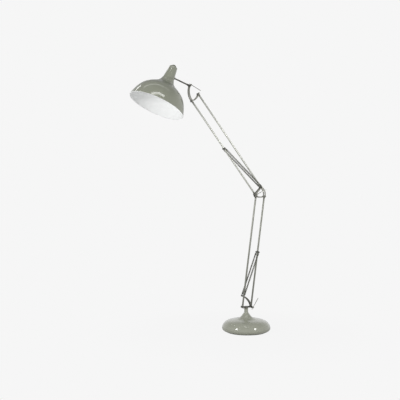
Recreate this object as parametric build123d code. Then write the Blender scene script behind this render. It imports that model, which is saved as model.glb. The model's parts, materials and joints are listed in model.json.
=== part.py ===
from build123d import *
from math import ceil, cos, pi, radians, sin, sqrt
import os
import numpy as np

# A spring-balanced floor lamp: a domed round base, two parallel-link arms and a wide tilting shade.
# Millimetres. Z is up and the origin is the centre of the underside. The arms move in the XZ plane,
# with the shade towards -X. Points of that plane are vectors of (x, z), and y is the lamp's width.

# ---------------------------------------------------------------- driving dimensions: base
pad_radius = 140.0  # rubber disc under the base
pad_thickness = 2.3
plate_thickness = 2.0  # steel disc that closes the base
base_radius = 168.5  # widest radius of the domed cover
base_widest_height = 25.0  # height of that widest ring
base_rim_radius = 155.0  # where the dome turns over into the rim
base_rim_height = 59.5
base_crown_radius = 84.0  # a point of the gentle dome
base_crown_height = 86.5
base_shoulder_radius = 46.0  # where the dome starts to rise into the neck
base_shoulder_height = 98.5
base_flare_radius = 21.5  # a point of the rise
base_flare_height = 124.5
base_wall = 1.2
lip_radius = 142.0  # turned-in lower edge of the cover
neck_radius = 13.5
neck_straight_from = 143.0  # the neck is a plain tube above this height
neck_top = 163.7
weight_radius = 139.0  # cast disc that keeps the lamp upright
weight_height = 29.0
weight_boss_radius = 32.0
weight_boss_height = 62.0
stem_radius = 10.0
stem_bore = 8.1
stem_flange_radius = 22.0
stem_flange_thickness = 4.0
base_screw_count = 3
base_screw_circle = 105.0
base_screw_radius = 2.5
base_screw_head_radius = 5.0
base_screw_length = 16.0
gland_radius = 5.0  # cable inlet in the back of the base
gland_bead_radius = 7.5
gland_bore = 3.6
gland_inside = 12.0
gland_bead_length = 4.5

# ---------------------------------------------------------------- driving dimensions: swivel
hub_height = 13.0  # block that turns on the neck and carries both base plates
spigot_radius = 6.0
spigot_thread_radius = 4.0
bush_length = 42.0
bush_flange_radius = 11.8
bush_flange_thickness = 2.5
swivel_nut_flats = 13.0
swivel_nut_thickness = 7.0

# ---------------------------------------------------------------- driving dimensions: linkage
pivot_height = 172.0  # both base pivots
front_pivot_x = -27.7
lower_pivot_gap = 64.2  # front to rear pivot, lower links
lower_arm = 782.0  # pivot to pivot
lower_tilt = 7.43  # degrees from upright, towards +X
elbow_rise_x = -7.2  # lower front pivot to upper front pivot
elbow_rise_z = 15.0
upper_offset_x = 45.7  # upper front pivot to upper rear pivot
upper_offset_z = 50.7
upper_arm = 788.0
upper_tilt = -36.2
head_offset_x = -15.7  # upper front link's top pivot to the head's tilt pivot
head_offset_z = 103.0
spring_post_x = 2.8  # base front pivot to the lower springs' posts
spring_post_z = 76.9
lower_clip_along = 386.0  # along the lower rear tube
upper_clip_along = 391.5  # along the upper front tube
tube_radius = 6.0
tube_wall = 1.0
tube_end_gap = 9.0  # pivot to the cut end of the tube
plug_length = 18.0  # end fitting's length inside the tube
sleeve_radius = 7.0
pin_radius = 3.0
plate_gap = 25.0  # between the near and far bracket plates
bracket_thickness = 3.0
strip_width = 7.5
eye_radius = 7.8
post_eye_radius = 6.0
base_arc_bow = 12.0
elbow_sag = 5.0
elbow_back_bow = 11.0
head_front_bow = 14.0
head_rear_bow = 8.5
clip_radius = 8.4
clip_length = 15.0
clip_arm_radius = 5.6
pin_head_radius = 5.0
pin_head_thickness = 3.0
nut_flats = 10.0
nut_flange_radius = 6.4
nut_flange_thickness = 1.4
nut_length = 10.5  # domed nuts of the base and the elbow
head_nut_length = 5.5  # low nuts of the head bracket
nut_crown = 2.0  # closed end of a nut beyond its pin
hub_screw_radius = 2.5
hub_screw_head_radius = 4.5
hub_screw_head_height = 2.6
hub_screw_depth = 9.0

# ---------------------------------------------------------------- driving dimensions: clamp levers
boss_radius = 5.6
boss_length = 28.0
bar_radius = 2.0
bar_long = 76.0
bar_short = 16.0
bar_from_boss_end = 6.0
base_lever_angle = 31.0  # degrees from upright towards +X
elbow_lever_angle = 65.0
head_lever_angle = 118.0

# ---------------------------------------------------------------- driving dimensions: springs
wire_radius = 1.1
coil_radius = 4.9  # axis of the coil to the middle of the wire
curls = 25  # drawn curls of each spring
spring_side = 22.0  # axis of each spring from the lamp's middle plane
spring_eye_radius = 5.8
spring_eye_thickness = 9.0
spring_collar_from_pin = 13.0
spring_collar_thickness = 2.0
spring_shank_radius = 3.0
spring_core_length = 12.0
spring_core_radius = 2.8
lead_in = 4.0  # height over which the wire turns from the collar into the coil

# ---------------------------------------------------------------- driving dimensions: head and shade
shade_tilt = 24.8  # the shade's axis leans by this from upright
shade_turn = 3.2  # and is turned by this about the rod
rod_skew = 2.5  # degrees by which the rod drops towards the shade's axis
rod_radius = 5.0
rod_reach = 153.14  # tilt pivot to the shade's axis
rod_rise = 23.33  # from the shade's top to the rod, on the shade's axis
knuckle_length = 20.0
knuckle_radius = 6.8
rod_socket_from = 8.5
rod_nut_radius = 7.6
rod_nut_thickness = 4.0
shade_wall = 0.8
rim_radius = 194.4
rim_bead_radius = 1.6
rim_bead_out = 0.4  # how far the bead stands out of the rim
shade_top_radius = 41.0
shade_top_height = 204.0
shade_curve = [  # spun outline: shares of the way out from the top radius and of the height
    (0.9713, 0.0686),
    (0.9335, 0.1471),
    (0.8768, 0.2696),
    (0.7855, 0.4167),
    (0.6454, 0.5417),
    (0.4987, 0.6446),
    (0.3488, 0.7230),
    (0.2216, 0.7721),
    (0.1141, 0.8309),
    (0.0391, 0.9044),
    (0.0, 1.0),
]
cup_wall = 1.6
cup_bottom_radius = 38.8  # the neck cup above the spun shade
cup_waist_radius = 34.6
cup_waist_rise = 36.0  # from the shade's top to the cup's waist
cup_top_radius = 27.2
cup_rise = 94.0  # from the shade's top to the cup's top
cup_edge_radius = 5.0
holder_radius = 19.5
holder_bore = 13.9
holder_drop = 15.5  # how far it hangs below the shade's top
holder_rise = 18.0  # and stands above it
holder_flange_radius = 25.0
holder_flange_thickness = 3.0
holder_floor = 8.0
bulb_radius = 30.0
bulb_length = 104.0
bulb_wall = 1.0
bulb_cap_radius = 13.2
bulb_cap_length = 26.0
bulb_cap_wall = 1.0
bulb_neck_in_cap = 8.0
switch_radius = 9.0
switch_length = 20.0
switch_collar_radius = 17.0
switch_collar_thickness = 2.0
button_radius = 14.5
button_height = 7.5
button_stem_radius = 5.0
button_stem_length = 9.0
button_travel = 3.0

# ---------------------------------------------------------------- clearances
running = 0.06  # round fits that turn, on the radius
seat = 0.3  # faces of different bodies
press = 0.02  # round fits that hold, on the radius
plain = 0.25  # loose holes
past = 1.0  # a cutter runs this far past a face


# ---------------------------------------------------------------- places in the arm plane
def heading(tilt):
    """Direction in the arm plane that leans by tilt degrees from upright towards +X."""
    return Vector(sin(radians(tilt)), cos(radians(tilt)))


base_front = Vector(front_pivot_x, pivot_height)
base_rear = base_front + Vector(lower_pivot_gap, 0)
spring_post = base_front + Vector(spring_post_x, spring_post_z)
elbow_front = base_front + heading(lower_tilt) * lower_arm
elbow_rear = base_rear + heading(lower_tilt) * lower_arm
shoulder_front = elbow_front + Vector(elbow_rise_x, elbow_rise_z)
shoulder_rear = shoulder_front + Vector(upper_offset_x, upper_offset_z)
head_front = shoulder_front + heading(upper_tilt) * upper_arm
head_rear = shoulder_rear + heading(upper_tilt) * upper_arm
head_pivot = head_front + Vector(head_offset_x, head_offset_z)
lower_clip_at = base_rear + heading(lower_tilt) * lower_clip_along
upper_clip_at = shoulder_front + heading(upper_tilt) * upper_clip_along
rod_on_shade = shade_top_height + rod_rise
cup_waist_height = shade_top_height + cup_waist_rise
cup_height = shade_top_height + cup_rise
holder_from = shade_top_height - holder_drop
holder_top = shade_top_height + holder_rise
rod_tilt = shade_tilt - rod_skew - 90
rod_way = heading(rod_tilt)
shade_axis_at = head_pivot + rod_way * rod_reach

inner_face = plate_gap / 2
outer_face = inner_face + bracket_thickness
plate_top = pad_thickness + plate_thickness
weight_top = plate_top + weight_height
eye_outer = outer_face + seat + spring_eye_thickness
pin_head_from = eye_outer + seat
tube_bore = tube_radius - tube_wall


def shade_place():
    """Where the shade's own frame lies: its origin is the rim's centre and its Z runs up the neck."""
    along_rod = Pos(shade_axis_at.X, 0, shade_axis_at.Y) * Rot(0, rod_tilt + 90, 0)
    return along_rod * Rot(-shade_turn, 0, 0) * Rot(0, rod_skew, 0) * Pos(0, 0, -rod_on_shade)


# ---------------------------------------------------------------- shared shapes
def across(point, radius, y_from, y_to):
    """Round bar across the lamp, from y_from to y_to."""
    bar = Rot(90, 0, 0) * Cylinder(radius, y_to - y_from)
    return Pos(point.X, (y_from + y_to) / 2, point.Y) * bar


def along(point, tilt, y, radius, start, end):
    """Round bar in the arm plane, from start to end along its leaning axis."""
    bar = Pos(0, 0, (start + end) / 2) * Cylinder(radius, end - start)
    return Pos(point.X, y, point.Y) * Rot(0, tilt, 0) * bar


def upright(radius, bottom, top, x=0.0, y=0.0):
    return Pos(x, y, (bottom + top) / 2) * Cylinder(radius, top - bottom)


def hexagon(flats, bottom, top):
    shape = RegularPolygon(flats / sqrt(3), 6)
    return extrude(Pos(0, 0, bottom) * shape, top - bottom)


def turned(outline):
    """Solid of revolution from a closed outline of (radius, height)."""
    return revolve(Plane.XZ * make_face(outline), Axis.Z)


def strip(start, end, bow=0.0, width=strip_width):
    """Flat strip of constant width from start to end, bowed to the left by bow at its middle."""
    half = width / 2
    way = (end - start).normalized()
    left = Vector(-way.Y, way.X)
    if bow == 0:
        corners = [start + left * half, end + left * half, end - left * half, start - left * half]
        return make_face(Polyline(*corners, close=True))
    middle = (start + end) / 2 + left * bow
    centre = ThreePointArc(start, middle, end).arc_center
    outer = ThreePointArc(*[p + (p - centre).normalized() * half for p in (start, middle, end)])
    inner = ThreePointArc(*[p - (p - centre).normalized() * half for p in (start, middle, end)])
    return make_face(outer + Line(outer @ 1, inner @ 1) + inner + Line(inner @ 0, outer @ 0))


def disc(point, radius):
    return Pos(point.X, point.Y) * Circle(radius)


def sheet_plate(outline, y_from, y_to):
    """Plate cut from an outline in the arm plane."""
    return extrude(Plane.XZ.offset(-y_to) * outline, y_to - y_from)


def near_and_far(outline):
    """The two facing plates of a bracket: the near one on -Y and the far one on +Y."""
    return sheet_plate(outline, -outer_face, -inner_face), sheet_plate(outline, inner_face, outer_face)


# ---------------------------------------------------------------- base
def base_outline(inset):
    """Outline of the domed cover from its neck to its lip, moved inwards by inset."""
    neck = neck_radius - inset
    widest = base_radius - inset
    flare_top = Vector(neck, neck_straight_from)
    flare = [
        flare_top,
        Vector(base_flare_radius - inset * 0.8, base_flare_height - inset * 0.6),
        Vector(base_shoulder_radius - inset * 0.35, base_shoulder_height - inset * 0.95),
        Vector(base_crown_radius - inset * 0.2, base_crown_height - inset),
        Vector(base_rim_radius - inset * 0.6, base_rim_height - inset * 0.8),
        Vector(widest, base_widest_height),
    ]
    lip = Vector(lip_radius - inset * 0.2, pad_thickness + inset)
    dome = Spline(*flare, tangents=[Vector(0, -1), Vector(0, -1)])
    under = Spline(Vector(widest, base_widest_height), lip, tangents=[Vector(0, -1), Vector(-1, -0.22)])
    return Line(Vector(neck, neck_top + past), flare_top) + dome + under


def closed_base(inset):
    rim = base_outline(inset)
    low = rim @ 1
    top = Vector(0, neck_top + past)
    bottom = Vector(0, low.Y)
    return turned(rim + Polyline(low, bottom, top, Vector(neck_radius - inset, neck_top + past)))


def base_cover():
    outer = closed_base(0)
    inner = closed_base(base_wall)
    floor = upright(lip_radius - base_wall, 0, pad_thickness + base_wall + past)
    above = upright(neck_radius + past, neck_top, neck_top + 3 * past)
    shell = outer - inner - floor - above
    return shell - gland_hole(gland_radius + plain)


def gland_hole(radius):
    start = base_radius - gland_inside - past
    length = gland_inside + gland_bead_length + 2 * past
    return Pos(0, start + length / 2, base_widest_height) * Rot(90, 0, 0) * Cylinder(radius, length)


def cable_gland():
    """Inlet for the mains lead, through the back of the cover."""
    inner_end = base_radius - gland_inside
    middle = Vector(0, base_widest_height)
    body = across(middle, gland_radius, inner_end, base_radius + gland_bead_length)
    bead = across(middle, gland_bead_radius, base_radius + seat, base_radius + gland_bead_length)
    bead = fillet(bead.edges().group_by(Axis.Y)[-1], gland_bead_length / 3)
    lock_ring = across(middle, gland_bead_radius, inner_end, base_radius - 2 * base_wall - seat)
    return body + bead + lock_ring - gland_hole(gland_bore)


def stem_hole(radius, bottom, top):
    return upright(radius, bottom - past, top + past)


def base_weight():
    disc_part = upright(weight_radius, plate_top, weight_top)
    disc_part = chamfer(disc_part.edges().group_by(Axis.Z)[-1], 4)
    boss = upright(weight_boss_radius, plate_top, weight_boss_height)
    boss = chamfer(boss.edges().group_by(Axis.Z)[-1], 3)
    pocket = upright(stem_flange_radius + plain, plate_top - past, plate_top + stem_flange_thickness)
    body = disc_part + boss - pocket - stem_hole(stem_radius + plain, plate_top, weight_boss_height)
    for place in screw_places():
        body -= place * upright(base_screw_radius + press, 0, base_screw_length + past)
    return body


def screw_places():
    return [Rot(0, 0, 360 * i / base_screw_count) * Pos(base_screw_circle, 0, pad_thickness)
            for i in range(base_screw_count)]


def screw_head():
    return Pos(0, 0, plate_thickness / 2) * Cone(base_screw_head_radius, base_screw_radius, plate_thickness)


def base_plate():
    plate = upright(pad_radius, pad_thickness, plate_top)
    for place in screw_places():
        plate -= place * screw_head()
    return plate


def base_screws():
    shank = upright(base_screw_radius, plate_thickness, base_screw_length)
    return [place * (screw_head() + shank) for place in screw_places()]


def base_pad():
    pad = upright(pad_radius, 0, pad_thickness)
    return fillet(pad.edges().group_by(Axis.Z)[0], 0.8)


def base_stem():
    top = neck_top - bush_flange_thickness
    stem = upright(stem_radius, plate_top, top) + upright(
        stem_flange_radius, plate_top, plate_top + stem_flange_thickness)
    return stem - stem_hole(stem_bore, plate_top, top)


# ---------------------------------------------------------------- swivel
bush_top = neck_top + seat
hub_bottom = bush_top + seat
hub_top = hub_bottom + hub_height
bush_seat = neck_top - bush_flange_thickness
bush_bottom = bush_seat - bush_length


def swivel_bush():
    sleeve = upright(stem_bore - press, bush_bottom, bush_top)
    flange = upright(bush_flange_radius, bush_seat, bush_top)
    return sleeve + flange - upright(spigot_radius + running, bush_bottom - past, bush_top + past)


def swivel_hub():
    """Block between the base plates, with the spigot that turns in the neck's bush."""
    block = upright(neck_radius, hub_bottom, hub_top)
    block = fillet(block.edges().group_by(Axis.Z)[-1], 1.5)
    block &= Pos(0, 0, (hub_bottom + hub_top) / 2) * Box(3 * neck_radius, plate_gap, 2 * hub_height)
    spigot = upright(spigot_radius, bush_bottom, hub_bottom)
    thread = upright(spigot_thread_radius, bush_bottom - swivel_nut_thickness - 3 * seat, bush_bottom)
    hub = block + spigot + thread
    for side in (-1, 1):
        hub -= hub_screw(side, press)
    return hub


def swivel_nut():
    top = bush_bottom - seat
    nut = hexagon(swivel_nut_flats, top - swivel_nut_thickness, top)
    nut &= upright(swivel_nut_flats / 2 + 0.7, top - swivel_nut_thickness, top)
    return nut - upright(spigot_thread_radius + press, top - swivel_nut_thickness - past, top + past)


def hub_screw(side, room=0.0):
    """Screw through one base plate into the hub."""
    at = Vector(0, pivot_height)
    ends = sorted((side * (inner_face - hub_screw_depth), side * outer_face))
    shank = across(at, hub_screw_radius + room, *ends)
    if room:
        return shank
    head = across(at, hub_screw_head_radius, *sorted((side * outer_face,
                                                      side * (outer_face + hub_screw_head_height))))
    outer_edges = head.edges().group_by(Axis.Y)[-1 if side > 0 else 0]
    return shank + fillet(outer_edges, 1.2)


# ---------------------------------------------------------------- brackets
def base_bracket_outline():
    bars = strip(base_front, base_rear) + strip(base_rear, spring_post, -base_arc_bow)
    eyes = disc(base_front, eye_radius) + disc(base_rear, eye_radius) + disc(spring_post, post_eye_radius)
    outline = bars + eyes
    for hole in (base_front, base_rear, spring_post):
        outline -= disc(hole, pin_radius + press)
    return outline - disc(Vector(0, pivot_height), hub_screw_radius + press)


def elbow_outline():
    bars = (
        strip(elbow_front, elbow_rear, -elbow_sag)
        + strip(elbow_rear, shoulder_rear, -elbow_back_bow)
        + strip(shoulder_rear, shoulder_front)
        + strip(shoulder_front, elbow_front, width=2 * eye_radius)
    )
    outline = bars
    for eye in (elbow_front, elbow_rear, shoulder_front, shoulder_rear):
        outline += disc(eye, eye_radius)
    for hole in (elbow_front, elbow_rear, shoulder_front, shoulder_rear):
        outline -= disc(hole, pin_radius + press)
    return outline


def head_outline():
    outline = strip(head_front, head_pivot, head_front_bow) + strip(head_front, head_rear, -head_rear_bow)
    for eye in (head_front, head_rear, head_pivot):
        outline += disc(eye, eye_radius)
    for hole in (head_front, head_rear, head_pivot):
        outline -= disc(hole, pin_radius + press)
    return outline


# ---------------------------------------------------------------- pivots
def plain_bolt(at, nut_reach):
    """Threaded pin with a nut on each end."""
    end = outer_face + nut_reach - nut_crown
    return across(at, pin_radius, -end, end)


def clamp_bolt(at, nut_reach):
    """Pin that runs from the far nut into the near clamp boss."""
    return across(at, pin_radius, -(outer_face + boss_length - bar_from_boss_end - bar_radius - past),
                  outer_face + nut_reach - nut_crown)


def domed_nut(at, side, reach):
    """Flanged hexagon nut with a domed end, closed over the pin."""
    flange = upright(nut_flange_radius, 0, nut_flange_thickness)
    corner = nut_flats / sqrt(3)
    hexagon_end = max(reach - corner, nut_flange_thickness + 1.6)
    body = hexagon(nut_flats, 0, hexagon_end)
    crown = upright(nut_flats / 2 - 0.2, hexagon_end, reach)
    crown = fillet(crown.edges().group_by(Axis.Z)[-1], min(nut_flats / 2 - 0.5, reach - hexagon_end - 0.1))
    nut = flange + body + crown - upright(pin_radius + press, -past, reach - nut_crown)
    return Pos(at.X, side * outer_face, at.Y) * Rot(-90 * side, 0, 0) * nut


def long_pin(at):
    """Cross pin whose two ends carry the eyes of a pair of springs."""
    pin = across(at, pin_radius, -pin_head_from - past, pin_head_from + past)
    return pin + pin_head(at, -1) + pin_head(at, 1)


def pin_head(at, side):
    ends = sorted((side * pin_head_from, side * (pin_head_from + pin_head_thickness)))
    head = across(at, pin_head_radius, *ends)
    return fillet(head.edges().group_by(Axis.Y)[-1 if side > 0 else 0], 1.0)


def spring_stud(side):
    """Stud riveted into one base plate, for one lower spring."""
    ends = sorted((side * inner_face, side * (pin_head_from + past)))
    return across(spring_post, pin_radius, *ends) + pin_head(spring_post, side)


# ---------------------------------------------------------------- links
def link_tube(start, tilt, length):
    outer = along(start, tilt, 0, tube_radius, tube_end_gap, length - tube_end_gap)
    return outer - along(start, tilt, 0, tube_bore, tube_end_gap - past, length - tube_end_gap + past)


def link_end(at, tilt, room):
    """End fitting: a cross sleeve on the pivot and a plug pressed into the tube."""
    sleeve = across(at, sleeve_radius, -inner_face + seat, inner_face - seat)
    plug = along(at, tilt, 0, tube_bore - press, 0, tube_end_gap + plug_length)
    return sleeve + plug - across(at, pin_radius + room, -inner_face, inner_face)


def link_ends(start, tilt, length, room_bottom=running, room_top=running):
    end = start + heading(tilt) * length
    return [link_end(start, tilt, room_bottom), link_end(end, tilt + 180, room_top)]


def spring_clip(at, tilt):
    """Sleeve on a tube, with a stud on each side for the eye of one spring."""
    body = along(at, tilt, 0, clip_radius, -clip_length / 2, clip_length / 2)
    arm = across(at, clip_arm_radius, -outer_face, outer_face)
    return body + arm + long_pin(at) - along(at, tilt, 0, tube_radius + press, -clip_length, clip_length)


# ---------------------------------------------------------------- clamp levers
boss_from = outer_face + seat
boss_to = boss_from + boss_length
bar_side = boss_to - bar_from_boss_end


def lever_boss(at, angle):
    """Round clamp boss that turns on the pivot pin, cross-drilled for its bar."""
    boss = across(at, boss_radius, -boss_to, -boss_from)
    boss = fillet(boss.edges().group_by(Axis.Y)[0], 1.6)
    blind = across(at, pin_radius + running, -(bar_side - bar_radius - past / 2), -boss_from + past)
    cross = along(at, angle, -bar_side, bar_radius + press, -2 * boss_radius, 2 * boss_radius)
    return boss - blind - cross


def lever_bar(at, angle):
    bar = along(at, angle, -bar_side, bar_radius, -bar_short, bar_long)
    return fillet(bar.edges().filter_by(GeomType.CIRCLE), bar_radius * 0.8)


# ---------------------------------------------------------------- springs
def biarc(start, start_way, end, end_way):
    """Two arcs that leave start and reach end in the given directions and meet smoothly."""
    span = end - start
    both = start_way + end_way
    turn = 2 * (1 - start_way.dot(end_way))
    step = (sqrt(span.dot(both) ** 2 + turn * span.dot(span)) - span.dot(both)) / turn
    leave = start + start_way * step
    arrive = end - end_way * step
    meet = (leave + arrive) / 2
    return [TangentArc(start, meet, tangent=start_way), TangentArc(meet, end, tangent=arrive - leave)]


def coil_point(turn_angle, bottom, rise):
    """Point of the coil and its direction there; rise is the pitch over a full turn."""
    height = bottom + rise * turn_angle / (2 * pi)
    point = Vector(coil_radius * cos(turn_angle), coil_radius * sin(turn_angle), height)
    slope = rise / (2 * pi)
    way = Vector(-coil_radius * sin(turn_angle), coil_radius * cos(turn_angle), slope).normalized()
    return point, way


def coil_path(length):
    """Straight lead-in, the curls as half turns, and a straight lead-out, all in one line."""
    wire = 2 * wire_radius
    bottom = spring_collar_from_pin + seat / 2
    top = length - bottom
    first = bottom + wire + lead_in
    last = top - wire - lead_in
    rise = (last - first) / curls
    up = Vector(0, 0, 1)
    eighth = pi / 4
    start = Vector(coil_radius * cos(-eighth), coil_radius * sin(-eighth), bottom)
    end_angle = 2 * pi * curls + eighth
    end = Vector(coil_radius * cos(end_angle), coil_radius * sin(end_angle), top)
    edges = [Line(start, start + up * wire)]
    edges += biarc(start + up * wire, up, *coil_point(0, first, rise))
    for half in range(2 * curls):
        here = coil_point(pi * half, first, rise)
        there = coil_point(pi * (half + 1), first, rise)
        edges += biarc(*here, *there)
    edges += biarc(*coil_point(2 * pi * curls, first, rise), end - up * wire, up)
    edges.append(Line(end - up * wire, end))
    return Wire(edges)


def least_gap(path, name):
    """Prints the least gap between stretches of the wire that lie more than a half turn apart."""
    samples = 24 * curls
    points = np.array([tuple(path @ (i / samples)) for i in range(samples + 1)])
    step = path.length / samples
    skip = ceil(pi * coil_radius / step)
    least = min(np.linalg.norm(points[i + skip:] - points[i], axis=1).min()
                for i in range(samples - skip))
    print(name, "least gap to itself", round(least - 2 * wire_radius, 2), "mm")


def spring_plane(start, end, y):
    way = end - start
    return Plane(origin=(start.X, y, start.Y), x_dir=(0, 1, 0), z_dir=(way.X, 0, way.Y))


def spring(start, end, side, name):
    path = coil_path((end - start).length)
    least_gap(path, name)
    section = Plane(path @ 0, z_dir=path % 0) * Circle(wire_radius)
    return spring_plane(start, end, side * spring_side) * sweep(section, path=path)


def spring_eye(start, end, side):
    """Screwed-in spring end: an eye on the pin, a shank, a collar and a core inside the coil."""
    shank_end = spring_collar_from_pin
    stem = upright(spring_shank_radius, 0, shank_end)
    collar = upright(coil_radius + wire_radius, shank_end - spring_collar_thickness, shank_end)
    core = upright(spring_core_radius, shank_end, shank_end + spring_core_length)
    fitting = spring_plane(start, end, side * spring_side) * (stem + collar + core)
    ends = sorted((side * (outer_face + seat), side * eye_outer))
    eye = across(start, spring_eye_radius, *ends)
    return fitting + eye - across(start, pin_radius + running, ends[0] - past, ends[1] + past)


def spring_eyes(start, end):
    return [spring_eye(start, end, side) for side in (-1, 1)]


# ---------------------------------------------------------------- head
def head_knuckle():
    """Sleeve on the tilt pivot with the socket that holds the rod."""
    sleeve = across(head_pivot, sleeve_radius, -inner_face + seat, inner_face - seat)
    socket = along(head_pivot, rod_tilt, 0, knuckle_radius, 0, knuckle_length)
    body = sleeve + socket - across(head_pivot, pin_radius + running, -inner_face, inner_face)
    return body - along(head_pivot, rod_tilt, 0, rod_radius + press, rod_socket_from, knuckle_length + past)


def cup_radius_at(height):
    """Outer radius of the neck cup at a height above the rim."""
    if height < cup_waist_height:
        share = (height - shade_top_height) / (cup_waist_height - shade_top_height)
        return cup_bottom_radius + share * (cup_waist_radius - cup_bottom_radius)
    share = (height - cup_waist_height) / (cup_height - cup_waist_height)
    return cup_waist_radius + share * (cup_top_radius - cup_waist_radius)


rod_nut_face = cup_radius_at(rod_on_shade - rod_nut_radius) + seat
rod_inner_face = cup_radius_at(rod_on_shade + rod_nut_radius) - cup_wall - 3 * seat
rod_end = rod_inner_face - rod_nut_thickness - seat


def head_rod():
    return along(head_pivot, rod_tilt, 0, rod_radius, rod_socket_from, rod_reach - rod_end)


def rod_nut(near_axis, far_axis):
    """Nut on the rod, between two distances from the shade's axis."""
    nut = along(head_pivot, rod_tilt, 0, rod_nut_radius, rod_reach - far_axis, rod_reach - near_axis)
    return nut - along(head_pivot, rod_tilt, 0, rod_radius + press, 0, rod_reach)


def rod_nuts():
    return [
        rod_nut(rod_nut_face, rod_nut_face + rod_nut_thickness),
        rod_nut(rod_inner_face - rod_nut_thickness, rod_inner_face),
    ]


# ---------------------------------------------------------------- shade, in its own frame
def shade_outline(inset):
    """Spun outline from the rim to the collar, moved inwards by inset."""
    flare = rim_radius - shade_top_radius
    points = [Vector(shade_top_radius + out * flare, up * shade_top_height) for out, up in shade_curve]
    curve = Spline(Vector(rim_radius - inset, 0), *points)
    if inset == 0:
        return curve
    shares = [i / 40 for i in range(41)]
    moved = []
    for share in shares:
        way = curve % share
        moved.append((curve @ share) + Vector(-way.Y, way.X) * inset)
    return Spline(*moved)


def closed_shade(inset):
    curve = shade_outline(inset)
    low = curve @ 0
    high = curve @ 1
    return turned(curve + Polyline(high, Vector(0, high.Y), Vector(0, low.Y), low))


def shade():
    """Spun shade: a thin shell, a rolled bead at the rim and a flat seat for the neck cup."""
    outer = closed_shade(0)
    inner = closed_shade(shade_wall) & upright(rim_radius, -past, shade_top_height - shade_wall)
    bead_at = Vector(rim_radius - rim_bead_radius + rim_bead_out, 0)
    bead = revolve(Plane.XZ * (Pos(bead_at.X, bead_at.Y) * Circle(rim_bead_radius)), Axis.Z)
    hole = upright(holder_radius + plain, shade_top_height - 2 * shade_wall, shade_top_height + past)
    return outer - inner - hole + bead


def neck_cup():
    """Tapered cup that closes the top of the shade and takes the rod and the switch."""
    step = shade_top_height + seat
    outer = turned(Polyline(
        Vector(0, step), Vector(cup_radius_at(step), step), Vector(cup_waist_radius, cup_waist_height),
        Vector(cup_top_radius, cup_height), Vector(0, cup_height), close=True))
    outer = fillet(outer.edges().group_by(Axis.Z)[-1], cup_edge_radius)
    inner = turned(Polyline(
        Vector(0, step - past), Vector(cup_radius_at(step) - cup_wall, step - past),
        Vector(cup_waist_radius - cup_wall, cup_waist_height),
        Vector(cup_top_radius - cup_wall, cup_height - cup_wall), Vector(0, cup_height - cup_wall),
        close=True))
    inner = fillet(inner.edges().group_by(Axis.Z)[-1], max(cup_edge_radius - cup_wall, seat))
    cup = outer - inner - upright(switch_radius + plain, cup_height - 2 * cup_wall, cup_height + past)
    rod_hole = Pos(cup_bottom_radius, 0, 0) * Rot(0, 90, 0) * Cylinder(
        rod_radius + running, cup_bottom_radius)
    return cup - Pos(0, 0, rod_on_shade) * Rot(0, -rod_skew, 0) * rod_hole


def lamp_holder():
    body = upright(holder_radius, holder_from, holder_top)
    body = fillet(body.edges().group_by(Axis.Z)[-1], 3)
    flange_top = shade_top_height - shade_wall
    flange = upright(holder_flange_radius, flange_top - holder_flange_thickness, flange_top)
    return body + flange - upright(holder_bore, holder_from - past, holder_top - holder_floor)


def holder_ring():
    bottom = shade_top_height
    ring = upright(holder_flange_radius, bottom, bottom + holder_flange_thickness)
    return ring - upright(holder_radius + press, bottom - past, bottom + 2 * holder_flange_thickness)


bulb_top = holder_top - holder_floor - seat
bulb_cap_end = bulb_top - bulb_cap_length


def bulb_outline(inset):
    """Closed outline of the glass from its neck inside the cap to the round end, moved in by inset."""
    centre = Vector(0, bulb_top - bulb_length + bulb_radius)
    round_end = bulb_radius - inset
    neck = bulb_cap_radius - bulb_cap_wall - press - inset
    neck_end = Vector(neck, bulb_cap_end)
    widest = centre + Vector(round_end, 0)
    tip = centre - Vector(0, round_end)
    top = bulb_cap_end + bulb_neck_in_cap + inset
    shoulder = Spline(neck_end, widest, tangents=[Vector(0, -1), Vector(0, -1)])
    crown = ThreePointArc(widest, centre + Vector(round_end, -round_end) / sqrt(2), tip)
    return shoulder + crown + Polyline(tip, Vector(0, top), Vector(neck, top), neck_end)


def bulb_glass():
    return turned(bulb_outline(0)) - turned(bulb_outline(bulb_wall))


def bulb_cap():
    cap = upright(bulb_cap_radius, bulb_cap_end, bulb_top)
    cap = fillet(cap.edges().group_by(Axis.Z)[-1], 2)
    return cap - upright(bulb_cap_radius - bulb_cap_wall, bulb_cap_end - past, bulb_top - bulb_cap_wall)


def switch_body():
    top = cup_height + switch_collar_thickness
    body = upright(switch_radius, cup_height - switch_length, top)
    collar = upright(switch_collar_radius, cup_height, top)
    bore = upright(button_stem_radius + running, top - button_stem_length - past, top + past)
    return body + collar - bore


def switch_button():
    bottom = cup_height + switch_collar_thickness + button_travel + seat
    dome = upright(button_radius, bottom, bottom + button_height)
    dome = fillet(dome.edges().group_by(Axis.Z)[-1], min(button_height, button_radius) - 1.0)
    stem_bottom = cup_height + switch_collar_thickness + button_travel - button_stem_length + past
    return dome + upright(button_stem_radius, stem_bottom, bottom)


# ---------------------------------------------------------------- nodes
def save(name, shapes):
    """Writes one sub-part, of one solid or of a group of separate ones."""
    group = shapes if isinstance(shapes, list) else [shapes]
    solids = [solid for shape in group for solid in shape.solids()]
    export_step(Compound(children=solids, label=name), "parts/" + name + ".step")


def save_shade(name, shape):
    save(name, shade_place() * shape)


def save_base():
    save("base_cover", base_cover())
    save("base_weight", base_weight())
    save("base_plate", base_plate())
    save("base_pad", base_pad())
    save("base_screws", base_screws())
    save("base_stem", base_stem())
    save("swivel_bush", swivel_bush())
    save("cable_gland", cable_gland())
    save("swivel_hub", swivel_hub())
    save("swivel_nut", swivel_nut())
    save("hub_screws", [hub_screw(-1), hub_screw(1)])


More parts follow.
